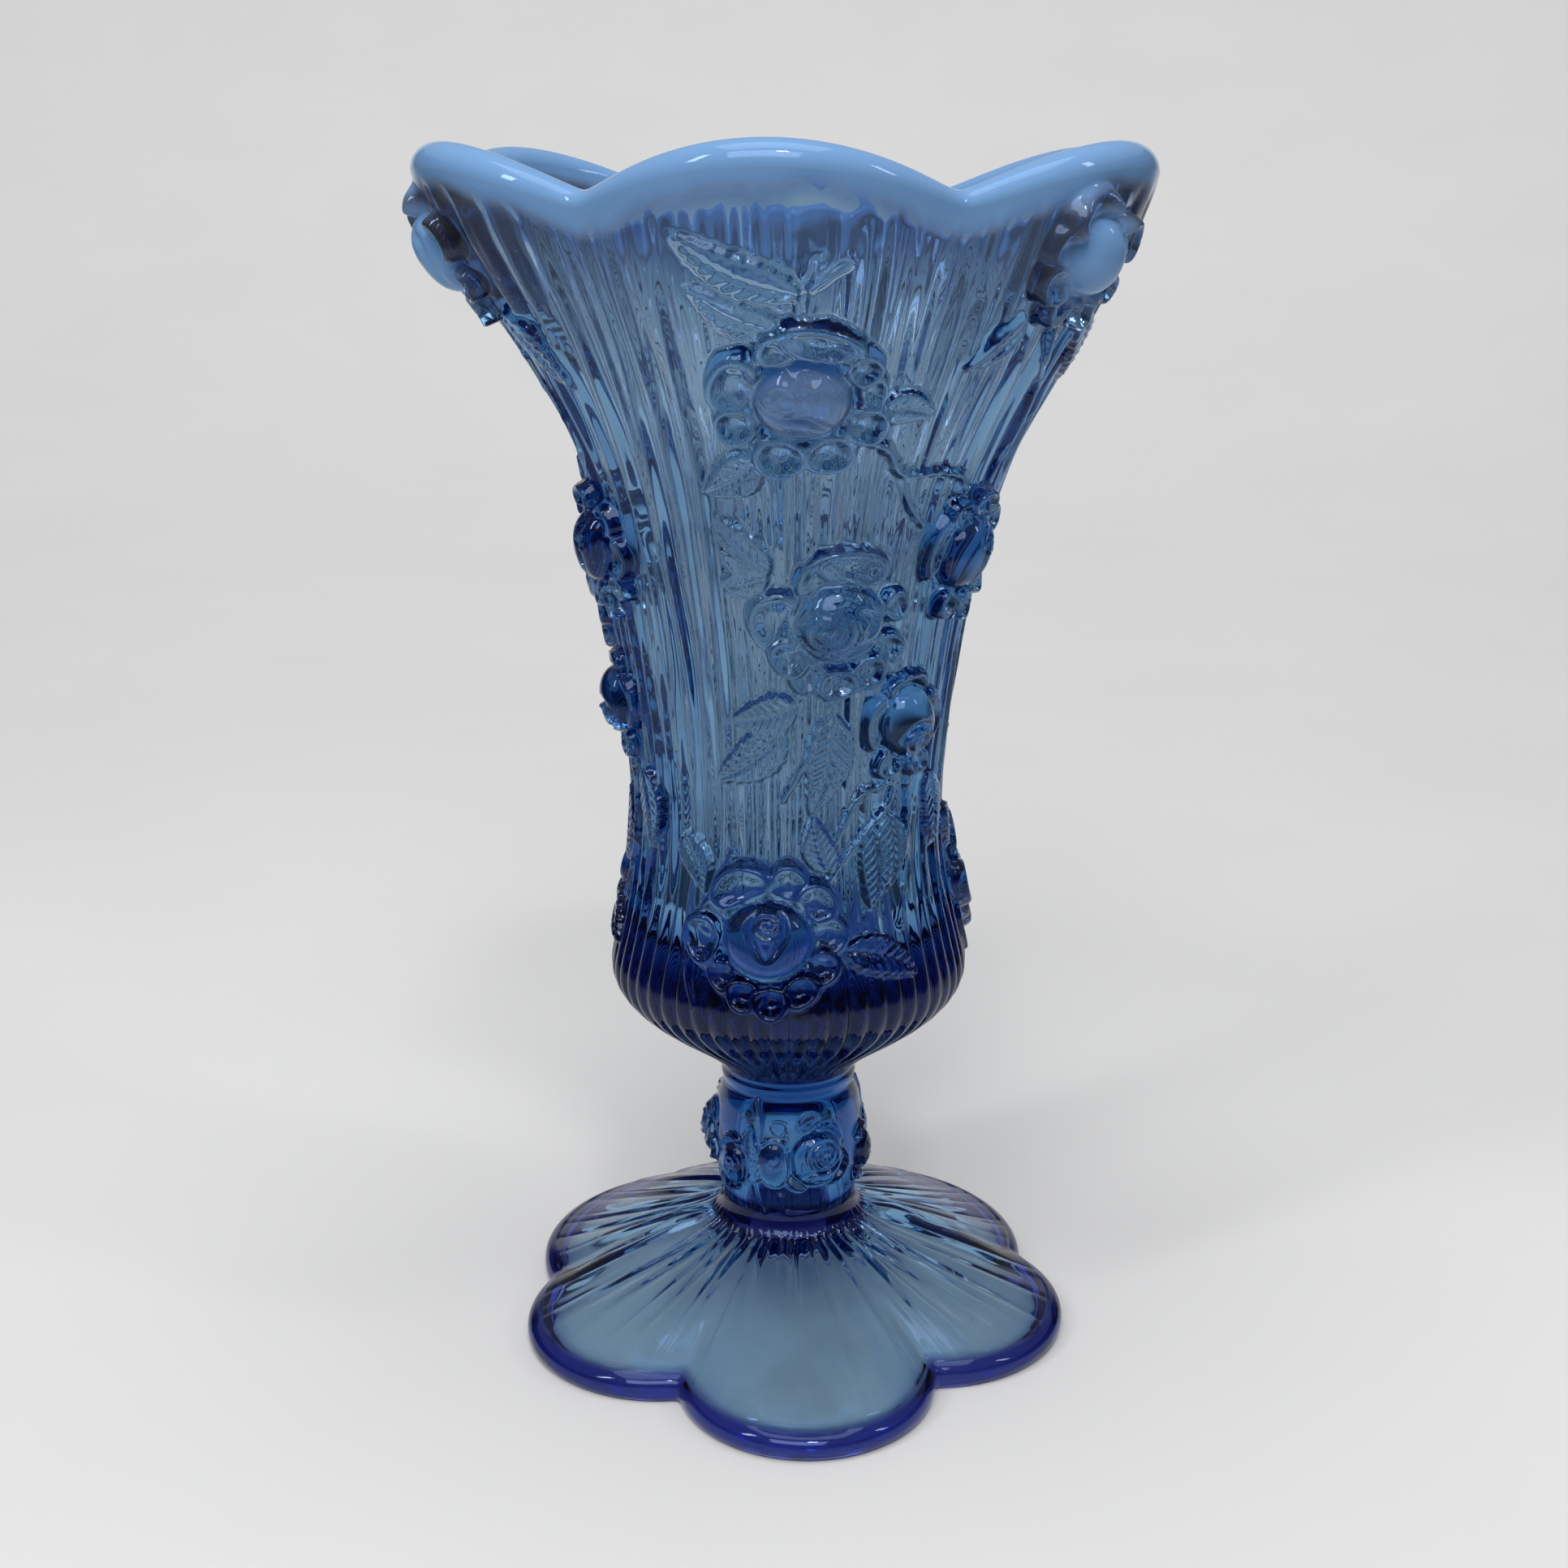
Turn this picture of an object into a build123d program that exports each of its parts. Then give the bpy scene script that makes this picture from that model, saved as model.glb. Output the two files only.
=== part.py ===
"""Pressed-glass pedestal vase: a petal foot, a hollow knop, a ribbed bowl with roses and
leaves in relief, and a scalloped opal lip. Millimetres, +Z up, the foot stands on z = 0.

Azimuth is measured from the front, -Y, towards +X. Every node is one region of the glass
and meets its neighbours face to face.
"""

import os
from math import cos, exp, hypot, radians, sin

from build123d import *

# ---- driving dimensions ------------------------------------------------------------
LOBES = 6
LIP_TURN = -3.3  # the lip was crimped by hand, so its lobes aren't in line with the foot's
FOOT_TURN = 4.9
RELIEF = 1.0  # how far leaves and vines stand out of the wall
SEAT = 13.4  # radius at which knop, collar and bowl meet

# foot
FOOT_NOTCH_R = 49.5
FOOT_TIP_R = (63.0, 59.0, 53.5, 51.5, 54.5, 58.5)  # front petal first; the foot isn't quite regular
FOOT_EDGE = 4.6
FOOT_TOP = 21.5
FOOT_HOLLOW_R = 44.0
FOOT_WALL = 5.0

# knop and collar
BORE_R = (8.6, 7.0)  # the plunger's hollow, at its mouth and at its blind end
BORE_TOP = 43.0
COLLAR_Z = 48.2
BOWL_Z = 51.4

# bowl
FLOOR_Z = 67.0
LIP_Z = 214.0
WALL = 4.4

# lip
LOBE_TOP = 230.0
NOTCH_TOP = 222.0
LOBE_R = 68.5
NOTCH_R = 60.4
BEAD = 8.6  # thickness of the rolled edge

KNOP_PROFILE = [(13.9, FOOT_TOP), (14.1, 26.0), (15.0, 31.0), (15.4, 36.5), (14.9, 43.0), (SEAT, COLLAR_Z)]
# height, radius, how much further out the lobes stand than the notches between them, and how far
# the wall sags in on the side at DENT_TURN, where the flare was bent by hand
DENT_TURN = -93.0
DENT_WIDTH = 30.0
WALL_PROFILE = [
    (BOWL_Z, SEAT, 0.0, 0.0),
    (56.0, 17.9, 0.0, 0.0),
    (61.5, 25.6, 0.0, 0.0),
    (67.0, 32.3, 0.0, 0.0),
    (73.5, 35.7, 0.0, 0.0),
    (80.0, 34.9, 0.0, 0.0),
    (90.0, 32.3, 0.0, 0.0),
    (101.0, 30.2, 0.0, 0.0),
    (113.6, 30.0, 0.0, 0.0),
    (130.0, 31.5, 0.0, 0.0),
    (146.0, 34.2, 0.0, 0.0),
    (160.0, 37.3, 0.0, 0.0),
    (171.0, 40.6, 0.6, 3.0),
    (182.0, 45.5, 1.6, 5.8),
    (193.0, 51.2, 3.0, 7.0),
    (204.0, 57.3, 4.6, 5.0),
    (LIP_Z, 62.9, 6.2, 0.0),
]
HOLLOW_BASE = [(FLOOR_Z, 12.0, 0.0, 0.0), (71.0, 20.0, 0.0, 0.0), (77.0, 25.6, 0.0, 0.0)]
MEAN_LOBE = 0.65


# ---- helpers -----------------------------------------------------------------------
def at(azimuth, radius, z):
    a = radians(azimuth)
    return (radius * sin(a), -radius * cos(a), z)


def lobe(azimuth, softness=0.0):
    """1 in the middle of a lobe of the lip, 0 at the notch between two."""
    c = cos(radians(azimuth - LIP_TURN) * LOBES / 2)
    return hypot(c, softness) / hypot(1.0, softness)


def revolved(points, sharp):
    """A solid of revolution: a spline through points, closed to the axis by sharp corners."""
    wall = Spline(*[(r, 0, z) for r, z in points])
    back = Polyline(*[(r, 0, z) for r, z in [points[-1], *sharp, points[0]]])
    return revolve(make_face([wall, back]), Axis.Z)


def turned(corners):
    """A solid of revolution with straight sides between its corners."""
    return revolve(make_face(Polyline(*[(r, 0, z) for r, z in corners], close=True)), Axis.Z)


def interpolate(table, z, column):
    for low, high in zip(table, table[1:]):
        if z <= high[0]:
            break
    share = (z - low[0]) / (high[0] - low[0])
    return low[column] + share * (high[column] - low[column])


def shaped(azimuth, radius, swing, sag):
    """A section's radius here, with its lobes and its dent."""
    off = (azimuth - DENT_TURN + 180) % 360 - 180
    return radius + swing * (lobe(azimuth, 0.25) - MEAN_LOBE) - sag * exp(-((off / DENT_WIDTH) ** 2))


def wall_radius(azimuth, z):
    """Outer radius of the bowl."""
    return shaped(azimuth, *[interpolate(WALL_PROFILE, z, column) for column in (1, 2, 3)])


def wall_section(z, radius, swing, sag):
    steps = LOBES * 6
    turns = [LIP_TURN + 360 * i / steps for i in range(steps)]
    points = [at(a, shaped(a, radius, swing, sag), z) for a in turns]
    return Wire([Spline(*points, periodic=True)])


def filled_wall(offset):
    """Everything inside the bowl's outer wall, or inside that wall moved out by offset."""
    return Solid.make_loft([wall_section(z, r + offset, *rest) for z, r, *rest in WALL_PROFILE])


def tangent(azimuth, z):
    """A plane on the wall: x runs round the bowl, y up it and z out of it."""
    step = 2.0
    slope = (wall_radius(azimuth, z + step) - wall_radius(azimuth, z - step)) / (2 * step)
    side = Vector(*at(azimuth + 90, 1, 0))
    outward = Vector(*at(azimuth, 1, -slope)).normalized()
    return Plane(origin=at(azimuth, wall_radius(azimuth, z), z), x_dir=side, z_dir=outward)


def cap(x, y, radius, height):
    """A ball whose cap above the plane has this radius and height."""
    ball = (radius**2 + height**2) / (2 * height)
    return Pos(x, y, height - ball) * Sphere(ball)


def polar(angle, distance):
    return distance * cos(radians(angle)), distance * sin(radians(angle))


# ---- foot, knop, collar ------------------------------------------------------------
def foot_outline():
    edges = []
    for i in range(LOBES):
        middle = FOOT_TURN + 360 / LOBES * i
        half = 180 / LOBES
        edges.append(
            ThreePointArc(
                at(middle - half, FOOT_NOTCH_R, 0),
                at(middle, FOOT_TIP_R[i], 0),
                at(middle + half, FOOT_NOTCH_R, 0),
            )
        )
    return make_face(edges)


def make_foot():
    reach = max(FOOT_TIP_R) + 1
    top = [(13.9, FOOT_TOP), (17.0, 18.2), (29.0, 13.4), (42.0, 8.2), (reach, FOOT_EDGE)]
    dome = revolved(top, [(reach, 0), (0, 0), (0, FOOT_TOP)])
    petals = extrude(foot_outline(), amount=FOOT_TOP + 1, dir=(0, 0, 1))
    crown = FOOT_TOP - FOOT_WALL - 3.0
    hollow = [(BORE_R[0], crown), (29.0, 13.4 - FOOT_WALL), (FOOT_HOLLOW_R, 0)]
    under = revolved(hollow, [(0, 0), (0, crown)])
    return (dome & petals) - under - make_bore()


def make_bore():
    mouth, end = BORE_R
    corners = [(0, 0), (mouth, 0), (mouth, FOOT_TOP), (end, BORE_TOP), (0, BORE_TOP)]
    return turned(corners)


def make_knop():
    return revolved(KNOP_PROFILE, [(0, COLLAR_Z), (0, FOOT_TOP)]) - make_bore()


def make_collar():
    low, high, rim = COLLAR_Z, BOWL_Z, SEAT + 0.7
    corners = [(0, low), (SEAT, low), (rim, low + 1), (rim, high - 1), (SEAT, high), (0, high)]
    return turned(corners)


# ---- bowl and lip ------------------------------------------------------------------
def make_bowl(outer):
    rise = HOLLOW_BASE + [(z, r - WALL, *rest) for z, r, *rest in WALL_PROFILE if z > 80]
    return outer - Solid.make_loft([wall_section(*row) for row in rise])


def lip_section(azimuth):
    f = lobe(azimuth)
    root = wall_radius(azimuth, LIP_Z)
    tip = NOTCH_R + (LOBE_R - NOTCH_R) * f
    top = NOTCH_TOP + (LOBE_TOP - NOTCH_TOP) * f
    low = min(6.2, 0.6 * (top - LIP_Z))
    points = [
        (root, LIP_Z),
        (tip, top - low),
        (tip - BEAD / 2, top),
        (tip - BEAD, top - low),
        (root - WALL, LIP_Z),
    ]
    places = [at(azimuth, r, z) for r, z in points]
    return Wire([Spline(*places), Line(places[-1], places[0])])


def make_lip():
    half, step = 180 // LOBES, 10
    sections = [lip_section(LIP_TURN + a) for a in range(-half, half + 1, step)]
    sector = Solid.make_loft(sections)
    lip = sector
    for i in range(1, LOBES):
        lip = lip + Rot(0, 0, 360 / LOBES * i) * sector
    return lip


# ---- relief ------------------------------------------------------------------------
# name: the heart as (height on the vase, radius, rise), petals as (angle, distance, radius, rise),
# and the azimuth of each of its three castings
ROSES = {
    "rose_rim": (
        (211.0, 6.2, 5.4),
        [(35, 8.4, 3.6, 2.0), (140, 9.0, 4.2, 2.6), (195, 8.8, 4.0, 2.4)]
        + [(245, 8.8, 3.8, 2.4), (300, 8.6, 4.0, 2.4), (350, 8.4, 3.4, 2.0)],
        (-50.5, 46.8, 178.0),
    ),
    "rose_upper": (
        (190.5, 8.0, 6.4),
        [(35, 11.2, 3.2, 2.0), (75, 11.6, 4.6, 2.6), (110, 11.2, 3.8, 2.2), (155, 11.8, 4.6, 2.4)]
        + [(205, 11.6, 4.6, 2.2), (250, 11.6, 4.8, 2.2), (290, 11.6, 4.4, 2.2), (335, 10.8, 4.6, 2.0)],
        (2.4, 122.0, -118.0),
    ),
    "rose_side": (
        (161.0, 6.3, 5.6),
        [(90, 8.0, 3.6, 2.4), (155, 8.2, 3.4, 2.2), (205, 8.4, 3.2, 1.8)]
        + [(270, 8.4, 3.0, 1.8), (20, 8.0, 3.0, 2.0)],
        (50.0, -60.0, 170.0),
    ),
    "rose_middle": (
        (149.5, 7.6, 5.6),
        [(70, 10.4, 4.4, 2.0), (115, 10.4, 4.6, 2.0), (180, 10.6, 4.8, 2.2)]
        + [(240, 10.6, 4.4, 2.2), (290, 10.4, 4.4, 2.0), (350, 10.0, 3.6, 1.8)],
        (13.5, 133.0, -107.0),
    ),
    "rose_bud": (
        (129.0, 6.2, 5.8),
        [(80, 7.6, 3.2, 2.0), (190, 7.4, 3.0, 1.8), (350, 7.4, 3.0, 2.0), (270, 8.0, 3.6, 2.8)],
        (40.5, -76.0, 160.0),
    ),
    "rose_base": (
        (89.0, 8.1, 6.6),
        [(60, 11.6, 5.0, 2.4), (110, 11.8, 5.2, 2.4), (165, 11.6, 4.4, 2.6), (215, 11.0, 4.2, 2.2)]
        + [(255, 11.2, 4.8, 2.6), (300, 11.2, 4.4, 2.4), (350, 11.0, 4.6, 2.2)],
        (-6.5, 112.0, -124.0),
    ),
}
# leaves of one casting: azimuth from the casting's own, height, direction, length, width
LEAVES = {
    "leaves_upper": [
        (-9.0, 206.5, 160, 16, 7),
        (-10.0, 213.5, 155, 15, 7),
        (24.0, 186.5, -5, 12, 6),
        (-13.5, 177.0, 215, 13, 7),
    ],
    "leaves_middle": [
        (-12.0, 164.0, 120, 13, 6.5),
        (-13.0, 158.0, 175, 10, 5),
        (-14.5, 124.5, 215, 15, 7),
        (-15.0, 134.0, 165, 11, 6),
    ],
    "leaves_lower": [
        (9.8, 105.5, 100, 12, 6),
        (36.0, 104.0, 95, 13, 6),
        (31.0, 83.5, -15, 14, 7),
        (12.0, 122.0, 260, 13, 6),
    ],
}
# stalks of one casting as (azimuth, height) from end to end
VINES = [
    [(12.0, 183.0), (26.0, 181.5), (38.0, 176.0), (47.0, 171.0)],
    [(37.0, 119.0), (26.0, 117.0), (18.0, 108.0), (12.0, 101.0)],
]
CASTINGS = (0.0, 119.0, -119.0)
KNOP_ROSE_Z = 36.5
KNOP_HEART = (4.6, 2.8)
KNOP_PETALS = [(160, 6.4, 3.4, 1.6), (235, 5.6, 3.0, 1.6), (60, 5.6, 3.0, 1.4), (330, 5.8, 3.0, 1.4)]
KNOP_CASTINGS = (24.0, 144.0, -96.0)
CRUMB = 1.0  # cubic millimetres: a cut can leave specks that no mould would make


def flower(heart, petals):
    """A round heart and round petals, on the plane z = 0."""
    shape = cap(0, 0, *heart)
    for angle, distance, size, rise in petals:
        shape = shape + cap(*polar(angle, distance), size, rise)
    return shape


def leaf_prism(azimuth, z, direction, length, width):
    """A leaf's outline, two arcs between its tips, as a prism through the wall."""
    half, bulge = length / 2, width / 2
    outline = make_face([
        ThreePointArc((-half, 0), (0, bulge), (half, 0)),
        ThreePointArc((half, 0), (0, -bulge), (-half, 0)),
    ])
    return tangent(azimuth, z) * Pos(0, 0, -4) * Rot(0, 0, direction) * extrude(outline, amount=8)


def make_relief(tools, inside, skin):
    """The parts of the tools that lie between the wall and the skin over it."""
    shape = tools[0]
    for tool in tools[1:]:
        shape = shape + tool
    return (shape & skin) - inside


def whole(shape):
    """The largest piece of a shape that a cut has parted."""
    return max(shape.solids(), key=lambda solid: solid.volume)


def stalk_prisms(points, casting):
    """Straight bars from point to point of a stalk, with a round joint at each."""
    width, depth = 1.5, 7.0
    places = [Vector(*at(casting + a, wall_radius(casting + a, z), z)) for a, z in points]
    bars = []
    for (a, z), (b, y), start, end in zip(points, points[1:], places, places[1:]):
        middle = tangent(casting + (a + b) / 2, (z + y) / 2)
        run = Plane(origin=(start + end) / 2, x_dir=end - start, z_dir=middle.z_dir)
        bars.append(run * Box((end - start).length + width, width, depth))
    return bars


def knop_radius(z):
    return interpolate([(h, r) for r, h in KNOP_PROFILE], z, 1)


def make_knop_rose(azimuth, inside):
    """A rose with a leaf beside it, on the knop."""
    side = Vector(*at(azimuth + 90, 1, 0))
    out = Vector(*at(azimuth, 1, 0))
    face = Plane(origin=at(azimuth, knop_radius(KNOP_ROSE_Z), KNOP_ROSE_Z), x_dir=side, z_dir=out)
    return face * flower(KNOP_HEART, KNOP_PETALS) - inside


# ---- the parts ---------------------------------------------------------------------
def save(name, shape):
    solids = Compound(children=[s for s in shape.solids() if s.volume > CRUMB])
    export_step(solids, os.path.join("parts", name + ".step"))


def main():
    os.makedirs("parts", exist_ok=True)
    inside = filled_wall(0.0)
    skin = filled_wall(RELIEF)
    lip = make_lip()
    knop = make_knop()
    save("foot", make_foot())
    save("knop", knop)
    save("collar", make_collar())
    save("bowl", make_bowl(inside))
    save("opal_lip", lip)

    roses = []
    for name, ((z, *heart), petals, turns) in ROSES.items():
        for i, azimuth in enumerate(turns, 1):
            shape = tangent(azimuth, z) * flower(heart, petals) - inside
            if name == "rose_rim":
                shape = whole(shape - lip)
            roses.append(shape)
            save(f"{name}_{i}", shape)

    for i, casting in enumerate(CASTINGS, 1):
        taken = []
        for name, leaves in LEAVES.items():
            tools = [leaf_prism(casting + a, z, turn, long, wide) for a, z, turn, long, wide in leaves]
            shape = make_relief(tools, inside, skin)
            for other in roses:
                shape = shape - other
            taken.append(shape)
            save(f"{name}_{i}", shape)
        tools = [bar for points in VINES for bar in stalk_prisms(points, casting)]
        shape = make_relief(tools, inside, skin)
        for other in [*roses, *taken]:
            shape = shape - other
        save(f"vine_{i}", shape)

    knop_inside = revolved(KNOP_PROFILE, [(0, COLLAR_Z), (0, FOOT_TOP)])
    for i, azimuth in enumerate(KNOP_CASTINGS, 1):
        save(f"knop_rose_{i}", make_knop_rose(azimuth, knop_inside))


main()
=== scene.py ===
"""The looks of a pressed-glass pedestal vase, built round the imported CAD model.

Lengths are worked out in millimetres and written to Blender in metres. Azimuth is measured in
degrees from the front, -Y, towards +X. The glass is one skin of rows and columns: it starts at
the blind end of the knop's hollow, goes round under the foot, up the outside, over the lip and
down the inside to the bowl's floor.
"""

import math

import bpy
import numpy as np
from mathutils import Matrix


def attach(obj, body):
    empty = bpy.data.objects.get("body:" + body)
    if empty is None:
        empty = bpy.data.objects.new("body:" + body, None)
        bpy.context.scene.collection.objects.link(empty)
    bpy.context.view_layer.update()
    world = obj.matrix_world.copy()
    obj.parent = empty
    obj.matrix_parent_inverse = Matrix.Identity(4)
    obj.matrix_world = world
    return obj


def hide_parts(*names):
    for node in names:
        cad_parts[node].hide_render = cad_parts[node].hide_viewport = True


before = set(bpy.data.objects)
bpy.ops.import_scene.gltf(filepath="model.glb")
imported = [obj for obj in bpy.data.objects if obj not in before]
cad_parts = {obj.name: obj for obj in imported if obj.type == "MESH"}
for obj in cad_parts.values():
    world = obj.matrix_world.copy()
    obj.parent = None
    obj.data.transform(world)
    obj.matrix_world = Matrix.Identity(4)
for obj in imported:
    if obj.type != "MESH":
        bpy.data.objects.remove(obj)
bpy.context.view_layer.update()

# ---- driving dimensions ------------------------------------------------------------
COLUMNS = 960
STEP = 0.33  # spacing of the rows where there is relief
CASTINGS = (0.0, 120.0, -120.0)  # the mould's three thirds
LOBES = 6  # of the lip, and petals of the foot
LIP_TURN = -3.3  # how far round the first lobe stands from the front
FOOT_TURN = 4.9  # and the first petal
MEAN_LOBE = 0.65  # the share of the lobes' swing that the radii of BOWL already hold

FOOT_NOTCH_R = 49.5
FOOT_TIP_R = (64.5, 59.0, 53.0, 51.0, 54.5, 58.5)  # from the front petal round towards +X
FOOT_NOMINAL_R = 58.0  # of the profile in foot_rows

LOBE_TOP, NOTCH_TOP = 230.8, 222.4  # heights of the lip
WALL = 4.3  # the bowl's thickness
BEAD_HIGH, BEAD_THICK = 2.4, 5.4  # the rolled lip in a notch
LOBE_HIGHER, LOBE_THICKER = 1.7, 2.6  # and how much larger it is on a lobe
LIP_SWELL = 0.7  # how far the wall swells outwards just under the lip
RIBS, RIB_DEPTH = 56, 1.45
STREAKS, STREAK_DEPTH = 22, 0.13  # how many waves the streaks are made of, and the height of each
FLUTES, FLUTE_DEPTH = 54, 0.8  # on the top of the foot
ROUNDING = 0.24  # fire-polishing rounds every edge
PETAL_CUT, WRAP_CUT, CREASE_CUT = 1.3, 2.6, 1.4  # how deep the roses' petals, wraps and creases are cut

# height, radius
STEM = [
    (23.2, 13.75), (25.0, 13.9), (27.0, 14.5), (31.0, 15.1), (36.0, 15.3), (41.0, 15.0), (45.0, 14.4),
    (47.4, 13.6), (48.0, 13.3), (48.8, 13.2), (49.4, 13.7), (50.4, 13.8), (51.4, 13.3),
]
# height, radius, and how much further out the lobes stand than the notches
BOWL = [
    (51.4, 13.3, 0.0), (52.2, 13.9, 0.0), (54.0, 15.6, 0.0), (56.5, 18.6, 0.0), (59.0, 22.2, 0.0),
    (61.5, 25.8, 0.0), (64.0, 29.2, 0.0), (67.0, 32.5, 0.0), (70.0, 34.8, 0.0), (73.5, 35.9, 0.0),
    (76.5, 35.7, 0.0), (80.1, 34.8, 0.0), (86.9, 33.1, 0.0), (93.6, 31.6, 0.0), (100.3, 30.6, 0.0),
    (107.0, 30.2, 0.0), (113.6, 30.2, 0.0), (120.2, 30.7, 0.0), (130.0, 31.8, 0.0), (139.7, 33.2, 0.0),
    (146.0, 34.3, 0.0), (152.4, 35.7, 0.0), (160.0, 37.4, 0.0), (168.0, 39.5, 0.3), (176.0, 42.6, 0.9),
    (184.0, 46.4, 1.8), (192.0, 50.7, 2.9), (200.0, 55.1, 4.1), (208.0, 59.6, 5.3), (215.0, 63.0, 6.4),
    (222.0, 65.0, 7.4), (230.0, 66.2, 8.4),
]
# the flare was bent by hand: on one side the wall sags in between these heights
DENT_TURN, DENT_WIDTH = -93.0, 30.0
DENT = [
    (158, 0), (167, 1.5), (173, 3.6), (180, 5.4), (188, 6.6), (196, 7.2), (202, 6.4), (208, 4), (214, 1.6),
    (222, 0),
]
# height, radius of the bowl's hollow where it leaves the wall and closes to the floor
HOLLOW = [(67.0, 0.0), (67.2, 6.0), (68.2, 13.0), (71.0, 19.5), (76.0, 24.6), (83.0, 27.8), (91.0, 27.8)]
HOLLOW_TOP = 91.0
KNOP_HOLLOW_TOP = 43.0
FLARE_FROM, FLARE_TO = 150.0, 222.0  # between these the rows follow the wavy lip more and more

MM = 0.001
turn = np.arange(COLUMNS) * 2 * np.pi / COLUMNS  # each column's azimuth, in radians


# ---- colours, lights and camera ----------------------------------------------------
# how opal the glass is, and its tint there
TINTS = [
    (0.0, (0.96, 0.98, 0.99)), (0.10, (0.78, 0.77, 0.77)), (0.28, (0.36, 0.47, 0.62)),
    (0.50, (0.27, 0.40, 0.62)), (0.80, (0.18, 0.36, 0.66)), (1.0, (0.21, 0.41, 0.73)),
]
# how opal it is, and how much light it lets through
CLEARNESS = [(0.10, (1, 1, 1)), (0.38, (0.84, 0.84, 0.84)), (0.80, (0.10, 0.10, 0.10))]
THICK_GLASS_AND_SHADE_TINT = (0.03, 0.018, 0.34, 1)  # the tint of thick glass, with painted shade in it
REFLECTED = (0.5, 0.66, 1.0, 1)  # the tint of what it mirrors head-on
DEPTH_COLOUR, DEPTH_DENSITY = (0.0, 0.46, 0.775, 1), 160.0  # what its depth leaves, and how fast
GLASS_IOR = 1.5
BODY_OPAL = 0.10  # a trace of opal all over the bowl
CLOUD_SCALE, CLOUD_SWING = 70.0, 0.22  # the opal is uneven
RIPPLE_SCALE, RIPPLE_HEIGHT = 160.0, 0.0004  # fine waves of the surface, in metres
WORN = [(0.3, (0.015, 0.015, 0.015)), (0.8, (0.05, 0.05, 0.05))]  # its roughness

# the stage: its uneven paper, and painted shade where the room round it is unlit
PAPER = [(0.3, (0.78, 0.775, 0.765)), (0.7, (0.80, 0.795, 0.785))]
# painted shade: the colour the sweep is painted towards the sides and the front, for the unlit room
PAINTED_ROOM_SHADE = (0.06, 0.065, 0.08)
PALE_SIDE, DIM_SIDE = 0.22, 0.60  # metres from the middle line, at the vase: where the painted shade starts, and where it is full
PALE_FRONT, DIM_FRONT = -0.22, -0.60  # metres from the vase, towards the viewer: where the painted shade starts, and where it is full
WIDENING = 0.36  # how fast the pale part of the sweep widens behind the vase

# name, place, what it points at, width, height, watts
LIGHTS = [
    ("key", (0.0, -0.1, 2.0), (0, 0, 0.1), 1.5, 1.1, 11.5),
    ("front", (-0.15, -1.1, 1.25), (0, 0, 0.1), 1.1, 0.7, 10.8),
    ("lamp", (0.1, -0.8, 1.3), (0, 0, 0.1), 0.16, 0.12, 2.4),
    ("back_wash", (0.0, 0.8, 1.35), (0, 2.1, 0.5), 1.7, 0.35, 7),
    ("window_left", (-0.8, -0.55, 0.95), (0, 0, 0.15), 0.12, 0.4, 2.4),
    ("window_right", (0.9, -0.3, 0.8), (0, 0, 0.15), 0.10, 0.3, 1.0),
]
ROOM_COLOUR, ROOM_STRENGTH = (0.86, 0.88, 0.92, 1), 0.33
CAMERA_PLACE = (-0.0009, -0.3867, 0.2249)
CAMERA_DOWN = 16.5  # degrees below level
CAMERA_LENS, CAMERA_SENSOR = 47.0, 36.0


# ---- curves and fields -------------------------------------------------------------
def smoothstep(low, high, x):
    t = np.clip((x - low) / (high - low), 0, 1)
    return t * t * (3 - 2 * t)


def smoothed(table, column, width, step=0.1):
    """A fine table (places, values) of one column, with its corners rounded over width."""
    z = np.array([row[0] for row in table])
    v = np.array([row[column] for row in table])
    fine = np.arange(z[0], z[-1] + step / 2, step)
    values = np.interp(fine, z, v)
    reach = int(3 * width / step)
    bell = np.exp(-0.5 * (np.arange(-reach, reach + 1) * step / width) ** 2)
    # the ends are mirrored through their own values, so they keep their place and slope
    left = 2 * values[0] - values[reach:0:-1]
    right = 2 * values[-1] - values[-2 : -reach - 2 : -1]
    padded = np.concatenate([left, values, right])
    return fine, np.convolve(padded, bell / bell.sum(), "valid")


def bell_blur(field, across, down):
    """Gaussian blur; the columns wrap round and the rows are mirrored at their ends."""
    for width, axis, mode in ((across, 1, "wrap"), (down, 0, "reflect")):
        if width <= 0:
            continue
        reach = max(1, int(3 * width))
        bell = np.exp(-0.5 * (np.arange(-reach, reach + 1) / width) ** 2)
        bell /= bell.sum()
        pad = [(0, 0), (0, 0)]
        pad[axis] = (reach, reach)
        wide = np.pad(field, pad, mode=mode)
        field = sum(
            weight * (wide[:, i : i + field.shape[1]] if axis == 1 else wide[i : i + field.shape[0]])
            for i, weight in enumerate(bell)
        )
    return field


def lobe(azimuth, softness):
    c = np.cos((azimuth - math.radians(LIP_TURN)) * LOBES / 2)
    return np.hypot(c, softness) / np.hypot(1.0, softness)


BOWL_Z, BOWL_R = smoothed(BOWL, 1, 1.4)
_, BOWL_SWING = smoothed(BOWL, 2, 4.0)


def bowl_radius(azimuth, z):
    base = np.interp(z, BOWL_Z, BOWL_R)
    off = (np.degrees(azimuth) - DENT_TURN + 180) % 360 - 180
    sag = np.interp(z, *np.array(DENT).T) * np.exp(-((off / DENT_WIDTH) ** 2))
    return base - sag + np.interp(z, BOWL_Z, BOWL_SWING) * (lobe(azimuth, 0.2) - MEAN_LOBE)


def lens(q, power):
    """1 in the middle of a form, 0 at its edge q = 1, steep there."""
    return np.sqrt(np.clip(1 - np.abs(q) ** power, 0, 1))


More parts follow.
